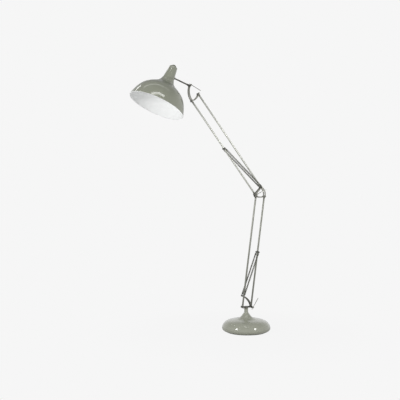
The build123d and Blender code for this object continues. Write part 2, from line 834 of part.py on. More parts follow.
def save_brackets():
    for name, outline in (
        ("base_bracket", base_bracket_outline()),
        ("elbow_bracket", elbow_outline()),
        ("head_bracket", head_outline()),
    ):
        near, far = near_and_far(outline)
        save(name + "_near", near)
        save(name + "_far", far)
    save("spring_studs", [spring_stud(-1), spring_stud(1)])
    save("base_bolts", [plain_bolt(base_front, nut_length), clamp_bolt(base_rear, nut_length)])
    save("base_nuts", [domed_nut(base_front, -1, nut_length), domed_nut(base_front, 1, nut_length),
                       domed_nut(base_rear, 1, nut_length)])
    save("elbow_bolts", [plain_bolt(elbow_front, nut_length), plain_bolt(elbow_rear, nut_length),
                         clamp_bolt(shoulder_front, nut_length)])
    save("elbow_spring_pin", long_pin(shoulder_rear))
    save("elbow_nuts", [domed_nut(elbow_front, -1, nut_length), domed_nut(elbow_front, 1, nut_length),
                        domed_nut(elbow_rear, -1, nut_length), domed_nut(elbow_rear, 1, nut_length),
                        domed_nut(shoulder_front, 1, nut_length)])
    save("head_bolts", [plain_bolt(head_front, head_nut_length), plain_bolt(head_rear, head_nut_length),
                        clamp_bolt(head_pivot, head_nut_length)])
    save("head_nuts", [domed_nut(head_front, -1, head_nut_length), domed_nut(head_front, 1, head_nut_length),
                       domed_nut(head_rear, -1, head_nut_length), domed_nut(head_rear, 1, head_nut_length),
                       domed_nut(head_pivot, 1, head_nut_length)])


def save_links():
    save("lower_rear_tube", link_tube(base_rear, lower_tilt, lower_arm))
    save("lower_rear_ends", link_ends(base_rear, lower_tilt, lower_arm))
    save("lower_front_tube", link_tube(base_front, lower_tilt, lower_arm))
    save("lower_front_ends", link_ends(base_front, lower_tilt, lower_arm, room_top=seat))
    save("upper_front_tube", link_tube(shoulder_front, upper_tilt, upper_arm))
    save("upper_front_ends", link_ends(shoulder_front, upper_tilt, upper_arm))
    save("upper_rear_tube", link_tube(shoulder_rear, upper_tilt, upper_arm))
    save("upper_rear_ends", link_ends(shoulder_rear, upper_tilt, upper_arm, room_top=seat))
    save("lower_spring_clip", spring_clip(lower_clip_at, lower_tilt))
    save("upper_spring_clip", spring_clip(upper_clip_at, upper_tilt))


def save_levers():
    for name, at, angle in (
        ("base_lever", base_rear, base_lever_angle),
        ("elbow_lever", shoulder_front, elbow_lever_angle),
        ("head_lever", head_pivot, head_lever_angle),
    ):
        save(name + "_boss", lever_boss(at, angle))
        save(name + "_bar", lever_bar(at, angle))


def save_springs():
    for name, start, end in (
        ("lower", spring_post, lower_clip_at),
        ("upper", shoulder_rear, upper_clip_at),
    ):
        save(name + "_spring_near", spring(start, end, -1, name + " near spring"))
        save(name + "_spring_far", spring(start, end, 1, name + " far spring"))
        save(name + "_spring_anchor_eyes", spring_eyes(start, end))
        save(name + "_spring_tip_eyes", spring_eyes(end, start))


def save_head():
    save("head_knuckle", head_knuckle())
    save("head_rod", head_rod())
    save("rod_nuts", rod_nuts())
    save_shade("shade", shade())
    save_shade("neck_cup", neck_cup())
    save_shade("lamp_holder", lamp_holder())
    save_shade("holder_ring", holder_ring())
    save_shade("bulb_glass", bulb_glass())
    save_shade("bulb_cap", bulb_cap())
    save_shade("switch_body", switch_body())
    save_shade("switch_button", switch_button())


os.makedirs("parts", exist_ok=True)
save_base()
save_brackets()
save_links()
save_levers()
save_springs()
save_head()
print("written")
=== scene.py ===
import bpy
import json
import math
import numpy as np
from mathutils import Matrix, Vector


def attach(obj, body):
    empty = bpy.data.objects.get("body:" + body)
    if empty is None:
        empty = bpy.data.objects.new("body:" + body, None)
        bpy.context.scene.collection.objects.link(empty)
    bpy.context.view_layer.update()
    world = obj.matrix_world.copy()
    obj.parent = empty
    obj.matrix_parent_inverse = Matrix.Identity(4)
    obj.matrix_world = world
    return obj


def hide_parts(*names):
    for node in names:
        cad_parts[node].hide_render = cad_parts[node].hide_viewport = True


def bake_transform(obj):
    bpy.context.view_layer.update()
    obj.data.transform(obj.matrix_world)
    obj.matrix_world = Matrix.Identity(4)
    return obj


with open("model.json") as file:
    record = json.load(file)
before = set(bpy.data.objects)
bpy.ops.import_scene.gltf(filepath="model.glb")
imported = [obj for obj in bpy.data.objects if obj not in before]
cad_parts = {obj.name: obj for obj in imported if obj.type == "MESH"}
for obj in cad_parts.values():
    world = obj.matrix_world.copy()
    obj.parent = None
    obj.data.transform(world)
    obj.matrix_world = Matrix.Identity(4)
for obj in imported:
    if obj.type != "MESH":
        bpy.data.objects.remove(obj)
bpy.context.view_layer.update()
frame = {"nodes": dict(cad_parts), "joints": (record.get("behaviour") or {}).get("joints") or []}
joints = {joint["name"]: joint for joint in frame["joints"]}
# shapes are worked out in millimetres of the lamp's own space; radii below tiny are poles
mm = 0.001
tiny = 1e-6


def jointAt(name):
    # a joint's own place
    return np.array(joints[name]["pos_m"]) / mm


def lean(angle):
    # direction in the arm plane, an angle in degrees from upright towards +X
    turn = math.radians(angle)
    return np.array([math.sin(turn), 0.0, math.cos(turn)])


def smoothLine(points, startWay=None, endWay=None, count=80):
    # cubic spline through the points over the length of their chords, with set or natural ends
    points = np.array(points, float)
    chord = np.linalg.norm(np.diff(points, axis=0), axis=1)
    knots = np.concatenate([[0], np.cumsum(chord)])
    size = len(points)
    matrix = np.zeros((size, size))
    right = np.zeros_like(points)
    inner = np.arange(1, size - 1)
    before, after = chord[:-1], chord[1:]
    matrix[inner, inner - 1] = after
    matrix[inner, inner] = 2 * (before + after)
    matrix[inner, inner + 1] = before
    slopes = np.diff(points, axis=0) / chord[:, None]
    right[1:-1] = 3 * (after[:, None] * slopes[:-1] + before[:, None] * slopes[1:])
    ends = ((0, startWay, slopes[0], 1), (size - 1, endWay, slopes[-1], size - 2))
    for row, way, slope, near in ends:
        if way is None:
            matrix[row, row], matrix[row, near] = 2, 1
            right[row] = 3 * slope
        else:
            matrix[row, row] = 1
            right[row] = np.array(way) / np.linalg.norm(way)
    speed = np.linalg.solve(matrix, right)
    at = np.linspace(0, knots[-1], count)
    part = np.clip(np.searchsorted(knots, at, side="right") - 1, 0, size - 2)
    width = chord[part][:, None]
    share = ((at - knots[part]) / chord[part])[:, None]
    start, stop = points[part], points[part + 1]
    rise = share * share * (3 - 2 * share)
    leave = width * share * (1 - share) ** 2 * speed[part]
    arrive = width * share * share * (1 - share) * speed[part + 1]
    return start * (1 - rise) + stop * rise + leave - arrive


def lengthAlong(line):
    # distance walked along a line up to each of its points
    return np.concatenate([[0], np.cumsum(np.linalg.norm(np.diff(line, axis=0), axis=1))])


def moveIn(line, distance):
    # every point of an open line moves to the left of its way by the distance
    way = np.gradient(line, axis=0)
    way /= np.linalg.norm(way, axis=1)[:, None]
    return line + distance * np.stack([-way[:, 1], way[:, 0]], axis=1)


def roundCorners(corners, radii, steps=7):
    # open line whose corners become circular arcs of the given radii, between two tangent points
    corners = np.array(corners, float)
    line = [corners[:1]]
    for i, radius in enumerate(radii, start=1):
        into = corners[i] - corners[i - 1]
        out = corners[i + 1] - corners[i]
        into, out = into / np.linalg.norm(into), out / np.linalg.norm(out)
        if radius <= 0:
            line.append(corners[i:i + 1])
            continue
        turn = math.acos(np.clip(np.dot(into, out), -1, 1))
        back = radius * math.tan(turn / 2)
        side = np.sign(into[0] * out[1] - into[1] * out[0])
        start = corners[i] - into * back
        centre = start + side * radius * np.array([-into[1], into[0]])
        angles = np.linspace(0, turn, steps) * side
        arm = start - centre
        line.append(centre + np.stack([arm[0] * np.cos(angles) - arm[1] * np.sin(angles),
                                       arm[0] * np.sin(angles) + arm[1] * np.cos(angles)], axis=1))
    line.append(corners[-1:])
    return np.concatenate(line)


def gridFaces(rows, columns, loopRows, loopColumns):
    # quads between neighbours of a grid, round the columns and round the rows where they close
    i = np.arange(rows if loopRows else rows - 1)
    j = np.arange(columns if loopColumns else columns - 1)
    i, j = np.meshgrid(i, j, indexing="ij")
    nextRow, nextColumn = (i + 1) % rows, (j + 1) % columns
    return np.stack([i * columns + j, i * columns + nextColumn,
                     nextRow * columns + nextColumn, nextRow * columns + j], axis=-1).reshape(-1, 4)


def outward(points, quads, fans):
    # the signed volume of the closed surface tells which way its faces point
    triangles = np.concatenate([quads[:, [0, 1, 2]], quads[:, [0, 2, 3]], fans])
    a, b, c = (points[triangles[:, k]] for k in range(3))
    return np.einsum("ij,ij->i", a, np.cross(b, c)).sum() > 0


def newSurface(name, points, quads, fans, uvs):
    # object at the origin from a grid's quads and the triangles round its poles, turned outward
    fans = np.array(fans, int).reshape(-1, 3)
    centred = points - points.mean(axis=0)
    if not outward(centred, quads, fans):
        quads, fans = quads[:, ::-1], fans[:, ::-1]
    mesh = bpy.data.meshes.new(name)
    mesh.from_pydata((points * mm).tolist(), [], quads.tolist() + fans.tolist())
    layer = mesh.uv_layers.new(name="surface")
    corners = np.zeros(len(mesh.loops), int)
    mesh.loops.foreach_get("vertex_index", corners)
    layer.data.foreach_set("uv", uvs[corners].ravel())
    mesh.polygons.foreach_set("use_smooth", np.full(len(mesh.polygons), True))
    mesh.update()
    piece = bpy.data.objects.new(name, mesh)
    bpy.context.scene.collection.objects.link(piece)
    return piece


def crossWays(axis):
    # two directions square to an axis and to each other
    axis = np.array(axis, float) / np.linalg.norm(axis)
    helper = np.array([0.0, 1.0, 0.0]) if abs(axis[1]) < 0.9 else np.array([1.0, 0.0, 0.0])
    first = np.cross(helper, axis)
    first /= np.linalg.norm(first)
    return axis, first, np.cross(axis, first)


def turned(name, profile, origin, axis, steps, closed=False, ripple=None):
    # surface of revolution: each (radius, height) of a profile goes round an axis, and a ripple may
    # change the radius by height and angle; radius 0 at an end is a pole
    profile = np.array(profile, float)
    axis, first, second = crossWays(axis)
    startPole = not closed and profile[0, 0] < tiny
    endPole = not closed and profile[-1, 0] < tiny
    body = profile[(1 if startPole else 0):(len(profile) - 1 if endPole else len(profile))]
    angle = np.linspace(0, 2 * np.pi, steps, endpoint=False)
    radius = np.repeat(body[:, :1], steps, axis=1)
    if ripple is not None:
        radius = radius + ripple(body[:, 1][:, None], angle[None, :])
    spin = np.cos(angle)[:, None] * first + np.sin(angle)[:, None] * second
    middle = np.array(origin) + body[:, 1][:, None, None] * axis
    points = (middle + radius[:, :, None] * spin[None]).reshape(-1, 3)
    quads = gridFaces(len(body), steps, closed, True)
    uvs = np.stack([np.tile(angle / (2 * np.pi), len(body)),
                    np.repeat(lengthAlong(body) * mm, steps)], axis=1)
    fans = []
    around = np.arange(steps)
    onward = (around + 1) % steps
    for pole, row, end in ((startPole, 0, 0), (endPole, len(body) - 1, -1)):
        if not pole:
            continue
        points = np.concatenate([points, [np.array(origin) + profile[end, 1] * axis]])
        uvs = np.concatenate([uvs, [[0.0, 0.0]]])
        tip = np.full(steps, len(points) - 1)
        ring = row * steps
        pair = (onward + ring, around + ring) if row == 0 else (around + ring, onward + ring)
        fans.append(np.stack([pair[0], pair[1], tip], axis=1))
    return newSurface(name, points, quads, np.concatenate(fans) if fans else [], uvs)


def tubeOnPath(name, path, ways, sideways, radius, sides):
    # round tube: a circle square to the path at each point, with a pole in the middle of each end
    upward = np.cross(ways, sideways)
    angle = np.linspace(0, 2 * np.pi, sides, endpoint=False)
    across, over = np.cos(angle)[None, :, None], np.sin(angle)[None, :, None]
    ring = across * sideways[:, None] + over * upward[:, None]
    points = (path[:, None] + radius * ring).reshape(-1, 3)
    quads = gridFaces(len(path), sides, False, True)
    uvs = np.stack([np.tile(angle / (2 * np.pi), len(path)),
                    np.repeat(lengthAlong(path) * mm, sides)], axis=1)
    first, last = len(points), len(points) + 1
    points = np.concatenate([points, path[:1], path[-1:]])
    uvs = np.concatenate([uvs, [[0, 0], [0, 0]]])
    around = np.arange(sides)
    onward = (around + 1) % sides
    ring = (len(path) - 1) * sides
    fans = np.concatenate([
        np.stack([onward, around, np.full(sides, first)], axis=1),
        np.stack([around + ring, onward + ring, np.full(sides, last)], axis=1)])
    return newSurface(name, points, quads, fans, uvs)


def joined(name, pieces):
    # one object made of several, with one name
    bpy.ops.object.select_all(action="DESELECT")
    for piece in pieces:
        piece.select_set(True)
    bpy.context.view_layer.objects.active = pieces[0]
    bpy.ops.object.join()
    pieces[0].name = name
    return pieces[0]


def groupOf(name, inputs, outputs):
    # empty shader node group with its named inputs and outputs
    group = bpy.data.node_groups.new(name, "ShaderNodeTree")
    for label, kind, value in inputs:
        socket = group.interface.new_socket(name=label, in_out="INPUT", socket_type=kind)
        socket.default_value = value
    for label, kind in outputs:
        group.interface.new_socket(name=label, in_out="OUTPUT", socket_type=kind)
    return group, group.nodes.new("NodeGroupInput"), group.nodes.new("NodeGroupOutput")


def addNode(tree, kind, values=None, **settings):
    # one shader node with its settings and the values of its open inputs
    node = tree.nodes.new(kind)
    for key, value in settings.items():
        setattr(node, key, value)
    for key, value in (values or {}).items():
        node.inputs[key].default_value = value
    return node


def makePeelGroup():
    # sprayed paint: a faint ripple for the coat, and slow drifts of tone and gloss
    group, start, end = groupOf(
        "sprayedCoat",
        [("Ripple Scale", "NodeSocketFloat", 260.0), ("Drift Scale", "NodeSocketFloat", 9.0)],
        [("Height", "NodeSocketFloat"), ("Drift", "NodeSocketFloat"), ("Speck", "NodeSocketFloat")])
    place = addNode(group, "ShaderNodeTexCoord")
    ripple = addNode(group, "ShaderNodeTexNoise", {"Detail": 1.5, "Roughness": 0.45})
    drift = addNode(group, "ShaderNodeTexNoise", {"Detail": 3.0, "Roughness": 0.5})
    speck = addNode(group, "ShaderNodeTexNoise", {"Scale": 900.0, "Detail": 0.0})
    sharp = addNode(group, "ShaderNodeMapRange", {"From Min": 0.70, "From Max": 0.78})
    link = group.links.new
    for noise in (ripple, drift, speck):
        link(place.outputs["Object"], noise.inputs["Vector"])
    link(start.outputs["Ripple Scale"], ripple.inputs["Scale"])
    link(start.outputs["Drift Scale"], drift.inputs["Scale"])
    link(speck.outputs["Fac"], sharp.inputs["Value"])
    link(ripple.outputs["Fac"], end.inputs["Height"])
    link(drift.outputs["Fac"], end.inputs["Drift"])
    link(sharp.outputs["Result"], end.inputs["Speck"])
    return group


def makeGrainGroup():
    # drawn or brushed metal: fine streaks stretched along one way, with a few deeper scuffs
    group, start, end = groupOf(
        "drawnGrain",
        [("Place", "NodeSocketVector", (0, 0, 0)), ("Stretch", "NodeSocketVector", (1, 1, 1)),
         ("Scale", "NodeSocketFloat", 300.0)],
        [("Height", "NodeSocketFloat"), ("Gloss", "NodeSocketFloat"), ("Scuff", "NodeSocketFloat")])
    stretch = addNode(group, "ShaderNodeVectorMath", operation="MULTIPLY")
    fine = addNode(group, "ShaderNodeTexNoise", {"Detail": 3.0, "Roughness": 0.6})
    broad = addNode(group, "ShaderNodeTexNoise", {"Scale": 24.0, "Detail": 2.0})
    scuff = addNode(group, "ShaderNodeMapRange", {"From Min": 0.60, "From Max": 0.72})
    link = group.links.new
    link(start.outputs["Place"], stretch.inputs[0])
    link(start.outputs["Stretch"], stretch.inputs[1])
    link(stretch.outputs["Vector"], fine.inputs["Vector"])
    link(start.outputs["Place"], broad.inputs["Vector"])
    link(start.outputs["Scale"], fine.inputs["Scale"])
    link(broad.outputs["Fac"], scuff.inputs["Value"])
    link(fine.outputs["Fac"], end.inputs["Height"])
    link(broad.outputs["Fac"], end.inputs["Gloss"])
    link(scuff.outputs["Result"], end.inputs["Scuff"])
    return group


# the Mix node's sockets for colours
colourA, colourB, colourOut = 6, 7, 2
bumpDepth = {"paint": 0.0004, "metal": 0.0002, "plain": 0.0006}
peelGroup = makePeelGroup()
grainGroup = makeGrainGroup()


def newMaterial(name):
    # material with one Principled shader to its surface
    material = bpy.data.materials.new(name)
    material.use_nodes = True
    tree = material.node_tree
    tree.nodes.clear()
    shader = addNode(tree, "ShaderNodeBsdfPrincipled")
    out = addNode(tree, "ShaderNodeOutputMaterial")
    tree.links.new(shader.outputs["BSDF"], out.inputs["Surface"])
    return material, tree, shader


def linear(colour):
    # a colour of 0 to 255 as written on a screen, made linear, with full alpha
    parts = np.array(colour) / 255
    parts = np.where(parts <= 0.04045, parts / 12.92, ((parts + 0.055) / 1.055) ** 2.4)
    return (*parts.tolist(), 1.0)


def mixColour(tree, first, second, factor):
    # two colours mixed by a value of the tree
    mix = addNode(tree, "ShaderNodeMix", data_type="RGBA")
    mix.inputs[colourA].default_value = first
    mix.inputs[colourB].default_value = second
    tree.links.new(factor, mix.inputs[0])
    return mix


def rangeOf(tree, value, low, high):
    # a value from 0 to 1 spread from low to high
    spread = addNode(tree, "ShaderNodeMapRange", {"To Min": low, "To Max": high})
    tree.links.new(value, spread.inputs["Value"])
    return spread.outputs["Result"]


def addBump(tree, shader, height, strength, depth):
    # fine relief: a height from 0 to 1 over a depth in metres tilts the shader's normal
    bump = addNode(tree, "ShaderNodeBump", {"Strength": strength, "Distance": depth})
    tree.links.new(height, bump.inputs["Height"])
    tree.links.new(bump.outputs["Normal"], shader.inputs["Normal"])


def paintFinish(name, look):
    # sprayed paint under a clear gloss; its gloss falls off where the surface turns away, and its
    # tone darkens there as painted shade on the edges
    material, tree, shader = newMaterial(name)
    away = addNode(tree, "ShaderNodeLayerWeight", {"Blend": 0.5})
    # painted shade: from this facing value on, the colour goes towards the darker rim tone at the
    # edges
    rim = addNode(tree, "ShaderNodeMapRange", {"From Min": look["edgeShadeFrom"], "From Max": 1.0})
    gloss = addNode(tree, "ShaderNodeMapRange", {"From Min": look["coatTo"], "From Max": 1.0,
                                                 "To Min": look["coat"], "To Max": look["rimCoat"]})
    tree.links.new(away.outputs["Facing"], rim.inputs["Value"])
    tree.links.new(away.outputs["Facing"], gloss.inputs["Value"])
    tree.links.new(gloss.outputs["Result"], shader.inputs["Coat Weight"])
    coat = addNode(tree, "ShaderNodeGroup", node_tree=peelGroup)
    coat.inputs["Ripple Scale"].default_value = look["ripple"]
    coat.inputs["Drift Scale"].default_value = look["drift"]
    mix = mixColour(tree, linear(look["dark"]), linear(look["light"]), coat.outputs["Drift"])
    speck = mixColour(tree, linear(look["light"]), linear(look["speck"]), coat.outputs["Speck"])
    tree.links.new(mix.outputs[colourOut], speck.inputs[colourA])
    # painted shade: the darker rim colour laid over the paint where its surface turns away
    edge = mixColour(tree, linear(look["light"]), linear(look["rim"]), rim.outputs["Result"])
    tree.links.new(speck.outputs[colourOut], edge.inputs[colourA])
    tree.links.new(edge.outputs[colourOut], shader.inputs["Base Color"])
    tree.links.new(rangeOf(tree, coat.outputs["Drift"], *look["rough"]), shader.inputs["Roughness"])
    addBump(tree, shader, coat.outputs["Height"], look["bump"], bumpDepth["paint"])
    shader.inputs["Coat Roughness"].default_value = look["coatRough"]
    shader.inputs["Specular IOR Level"].default_value = look["specular"]
    return material


def metalFinish(name, look):
    # plated or drawn metal, on the piece's own length or on its place
    material, tree, shader = newMaterial(name)
    grain = addNode(tree, "ShaderNodeGroup", node_tree=grainGroup)
    grain.inputs["Scale"].default_value = look["scale"]
    grain.inputs["Stretch"].default_value = look["stretch"]
    if look.get("alongPiece"):
        place = addNode(tree, "ShaderNodeUVMap", uv_map="surface")
        tree.links.new(place.outputs["UV"], grain.inputs["Place"])
    else:
        place = addNode(tree, "ShaderNodeTexCoord")
        tree.links.new(place.outputs["Object"], grain.inputs["Place"])
    tone = mixColour(tree, linear(look["dark"]), linear(look["light"]), grain.outputs["Gloss"])
    worn = mixColour(tree, linear(look["light"]), linear(look["worn"]), grain.outputs["Scuff"])
    tree.links.new(tone.outputs[colourOut], worn.inputs[colourA])
    tree.links.new(worn.outputs[colourOut], shader.inputs["Base Color"])
    rough = rangeOf(tree, grain.outputs["Height"], *look["rough"])
    tree.links.new(rough, shader.inputs["Roughness"])
    addBump(tree, shader, grain.outputs["Height"], look["bump"], bumpDepth["metal"])
    shader.inputs["Metallic"].default_value = look["metal"]
    return material


def plainFinish(name, look):
    # moulded plastic, rubber and cast iron
    material, tree, shader = newMaterial(name)
    coat = addNode(tree, "ShaderNodeGroup", node_tree=peelGroup)
    coat.inputs["Ripple Scale"].default_value = look["ripple"]
    coat.inputs["Drift Scale"].default_value = look["drift"]
    mix = mixColour(tree, linear(look["dark"]), linear(look["light"]), coat.outputs["Drift"])
    tree.links.new(mix.outputs[colourOut], shader.inputs["Base Color"])
    tree.links.new(rangeOf(tree, coat.outputs["Drift"], *look["rough"]), shader.inputs["Roughness"])
    addBump(tree, shader, coat.outputs["Height"], look["bump"], bumpDepth["plain"])
    shader.inputs["Transmission Weight"].default_value = look.get("clear", 0.0)
    return material


# colours as written on a screen; rough is a range; rim is painted shade, a darker colour laid on a
# paint's edges from the facing value that follows it, and coatTo tells where its gloss falls off
# there
paints = {
    # one sage paint in two copies painted for the light: the lamp shade's copy is darker, with
    # wider painted shade at its edges, and the base's copy below is painted lighter
    "shadeSageShadedCopy": {
        "dark": (142, 145, 130), "light": (149, 152, 137), "speck": (162, 165, 152),
        "rim": (92, 95, 85), "edgeShadeFrom": 0.62, "coatTo": 0.66, "ripple": 210.0, "drift": 7.0,
        "rough": (0.30, 0.38), "bump": 0.05, "coat": 0.85, "rimCoat": 0.0, "coatRough": 0.06,
        "specular": 0.06},
    # painted light: the base's copy of the same sage paint, painted lighter than the lamp shade's
    # copy
    "baseSageLitCopy": {
        "dark": (155, 157, 143), "light": (162, 164, 150), "speck": (172, 174, 162),
        "rim": (100, 103, 92), "edgeShadeFrom": 0.78, "coatTo": 0.84, "ripple": 210.0, "drift": 7.0,
        "rough": (0.30, 0.38), "bump": 0.05, "coat": 1.0, "rimCoat": 0.15, "coatRough": 0.06,
        "specular": 0.12},
    "whitePaint": {
        "dark": (240, 241, 240), "light": (246, 247, 247), "speck": (232, 233, 232),
        "rim": (234, 235, 234), "edgeShadeFrom": 0.8, "coatTo": 0.8, "ripple": 240.0, "drift": 6.0,
        "rough": (0.5, 0.58), "bump": 0.04, "coat": 0.0, "rimCoat": 0.0, "coatRough": 0.25,
        "specular": 0.0},
}
metals = {
    "tubeSteel": {
        "dark": (127, 128, 120), "light": (138, 139, 131), "worn": (150, 151, 143), "scale": 90.0,
        "stretch": (6.0, 2.0, 1.0), "rough": (0.36, 0.46), "bump": 0.02, "metal": 0.85,
        "alongPiece": True},
    # painted reflection: the lower tubes' steel painted lighter for the upper tubes, standing in
    # for the lamp seen along them
    "tubeSteelPaintedReflection": {
        "dark": (176, 177, 170), "light": (188, 189, 182), "worn": (198, 199, 192), "scale": 90.0,
        "stretch": (6.0, 2.0, 1.0), "rough": (0.32, 0.42), "bump": 0.02, "metal": 0.9,
        "alongPiece": True},
    "springSteel": {
        "dark": (112, 112, 104), "light": (132, 132, 123), "worn": (156, 156, 147), "scale": 60.0,
        "stretch": (2.0, 6.0, 1.0), "rough": (0.22, 0.36), "bump": 0.04, "metal": 0.9,
        "alongPiece": True},
    "leverSteel": {
        "dark": (118, 118, 112), "light": (134, 134, 127), "worn": (150, 150, 143), "scale": 80.0,
        "stretch": (4.0, 2.0, 1.0), "rough": (0.16, 0.26), "bump": 0.03, "metal": 0.95,
        "alongPiece": True},
    "bracketSteel": {
        "dark": (96, 96, 90), "light": (108, 108, 101), "worn": (126, 126, 118), "scale": 120.0,
        "stretch": (1.0, 1.0, 9.0), "rough": (0.3, 0.45), "bump": 0.06, "metal": 0.8},
    "darkSteel": {
        "dark": (84, 84, 79), "light": (98, 98, 92), "worn": (116, 116, 109), "scale": 160.0,
        "stretch": (1.0, 1.0, 3.0), "rough": (0.3, 0.46), "bump": 0.06, "metal": 0.8},
    "platedSteel": {
        "dark": (128, 128, 122), "light": (144, 144, 138), "worn": (162, 162, 156),
        "scale": 200.0, "stretch": (1.0, 1.0, 1.0), "rough": (0.2, 0.34), "bump": 0.04,
        "metal": 1.0},
    "rodSteel": {
        "dark": (92, 92, 87), "light": (104, 104, 98), "worn": (124, 124, 117), "scale": 90.0,
        "stretch": (6.0, 2.0, 1.0), "rough": (0.26, 0.38), "bump": 0.04, "metal": 0.85,
        "alongPiece": True},
    "brass": {
        "dark": (176, 146, 88), "light": (196, 166, 104), "worn": (210, 184, 126), "scale": 160.0,
        "stretch": (1.0, 1.0, 4.0), "rough": (0.24, 0.38), "bump": 0.04, "metal": 1.0},
}
plains = {
    "castIron": {
        "dark": (46, 46, 46), "light": (62, 62, 61), "ripple": 420.0, "drift": 30.0,
        "rough": (0.6, 0.8), "bump": 0.7},
    "padRubber": {
        "dark": (34, 34, 33), "light": (46, 46, 45), "ripple": 600.0, "drift": 20.0,
        "rough": (0.7, 0.9), "bump": 0.3},
    "blackPlastic": {
        "dark": (34, 34, 34), "light": (44, 44, 44), "ripple": 800.0, "drift": 25.0,
        "rough": (0.4, 0.5), "bump": 0.12},
    "whitePlastic": {
        "dark": (226, 226, 220), "light": (236, 236, 231), "ripple": 700.0, "drift": 18.0,
        "rough": (0.3, 0.4), "bump": 0.08},
    "frostedGlass": {
        "dark": (240, 240, 236), "light": (248, 248, 245), "ripple": 900.0, "drift": 14.0,
        "rough": (0.28, 0.34), "bump": 0.03, "clear": 0.25},
}
finishes = {}
for makeFinish, looks in ((paintFinish, paints), (metalFinish, metals), (plainFinish, plains)):
    for finishName, look in looks.items():
        finishes[finishName] = makeFinish(finishName, look)
print("finishes made:", len(finishes))


def wear(piece, *names):
    # the piece's own finishes in the order of its slots
    piece.data.materials.clear()
    for name in names:
        piece.data.materials.append(finishes[name])


base = {
    "neckRadius": 13.5, "neckTop": 163.7, "straightFrom": 143.0, "straightRise": 4.0, "wall": 1.2,
    "dome": [(21.5, 124.5), (46.0, 98.5), (84.0, 86.5), (155.0, 59.5)],
    "widest": (168.5, 25.0), "lip": (142.0, 2.3), "lipSlope": (-1.0, -0.22),
    "edge": 0.4, "innerEdge": 0.3, "domeRows": 120, "lipRows": 32, "rings": 288,
}


def makeBaseCover():
    # closed shell turned round the upright axis: the dome from the neck down, its turned-in lip,
    # and the same outline moved in by the wall on the way back up
    radius, top, wall = base["neckRadius"], base["neckTop"], base["wall"]
    upper = smoothLine([(radius, base["straightFrom"]), *base["dome"], base["widest"]],
                       (0, -1), (0, -1), base["domeRows"])
    lower = smoothLine([base["widest"], base["lip"]], (0, -1), base["lipSlope"], base["lipRows"])
    straightTop = base["straightFrom"] + base["straightRise"]
    neck = np.array([[radius, top - base["edge"]], [radius, straightTop]])
    outer = np.concatenate([neck, upper, lower[1:]])
    inner = moveIn(outer, -wall)
    edge = np.array([[radius - base["edge"], top], [radius - wall + base["innerEdge"], top]])
    profile = np.concatenate([outer, inner[::-1], edge[::-1]])
    cover = turned("baseCover", profile, (0, 0, 0), (0, 0, 1), base["rings"], closed=True)
    # the base wears the copy of the sage paint that is painted lighter
    wear(cover, "baseSageLitCopy")
    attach(cover, "base")
    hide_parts("base_cover")


makeBaseCover()
print("base cover made")


# heights start at the shade's rim; the rod meets its axis at rodHeight, by reach from the pivot
shadeShape = {
    "tilt": 24.8, "turn": 3.2, "reach": 153.14, "rodHeight": 227.33, "rodSkew": 2.5,
    "rim": (194.4, 0.0), "top": (41.0, 204.0), "hole": 19.75, "wall": 0.8,
    "outline": [(191.0, 11.4), (186.6, 25.3), (179.6, 45.3), (169.2, 69.6), (155.9, 92.4),
                (139.0, 112.7), (118.8, 129.9), (96.7, 144.3), (76.5, 156.9), (58.3, 172.2),
                (47.4, 187.2)],
    "seat": (38.5, 40.4), "seatEdge": 0.2, "underSeat": 38.0, "underGap": 0.4,
    "bead": 1.6, "beadOut": 0.4, "beadGap": 0.3, "beadArc": (55, -215), "beadRows": 22,
    "whiteFrom": 0.30, "rows": 130, "rings": 320,
}
tiltAt = jointAt("head_tilt")
rodWay = lean(shadeShape["tilt"] - shadeShape["rodSkew"] - 90)
rodMeets = tiltAt + rodWay * shadeShape["reach"]


def shadeFrame():
    # the shade's own axis: nearly square to the rod, turned about it
    turn, skew = math.radians(shadeShape["turn"]), math.radians(shadeShape["rodSkew"])
    square = lean(shadeShape["tilt"] - shadeShape["rodSkew"])
    sideways = np.array([0.0, 1.0, 0.0])
    up = math.cos(skew) * (math.cos(turn) * square + math.sin(turn) * sideways)
    up = up - math.sin(skew) * rodWay
    return rodMeets - up * shadeShape["rodHeight"], up


rimCentre, shadeUp = shadeFrame()


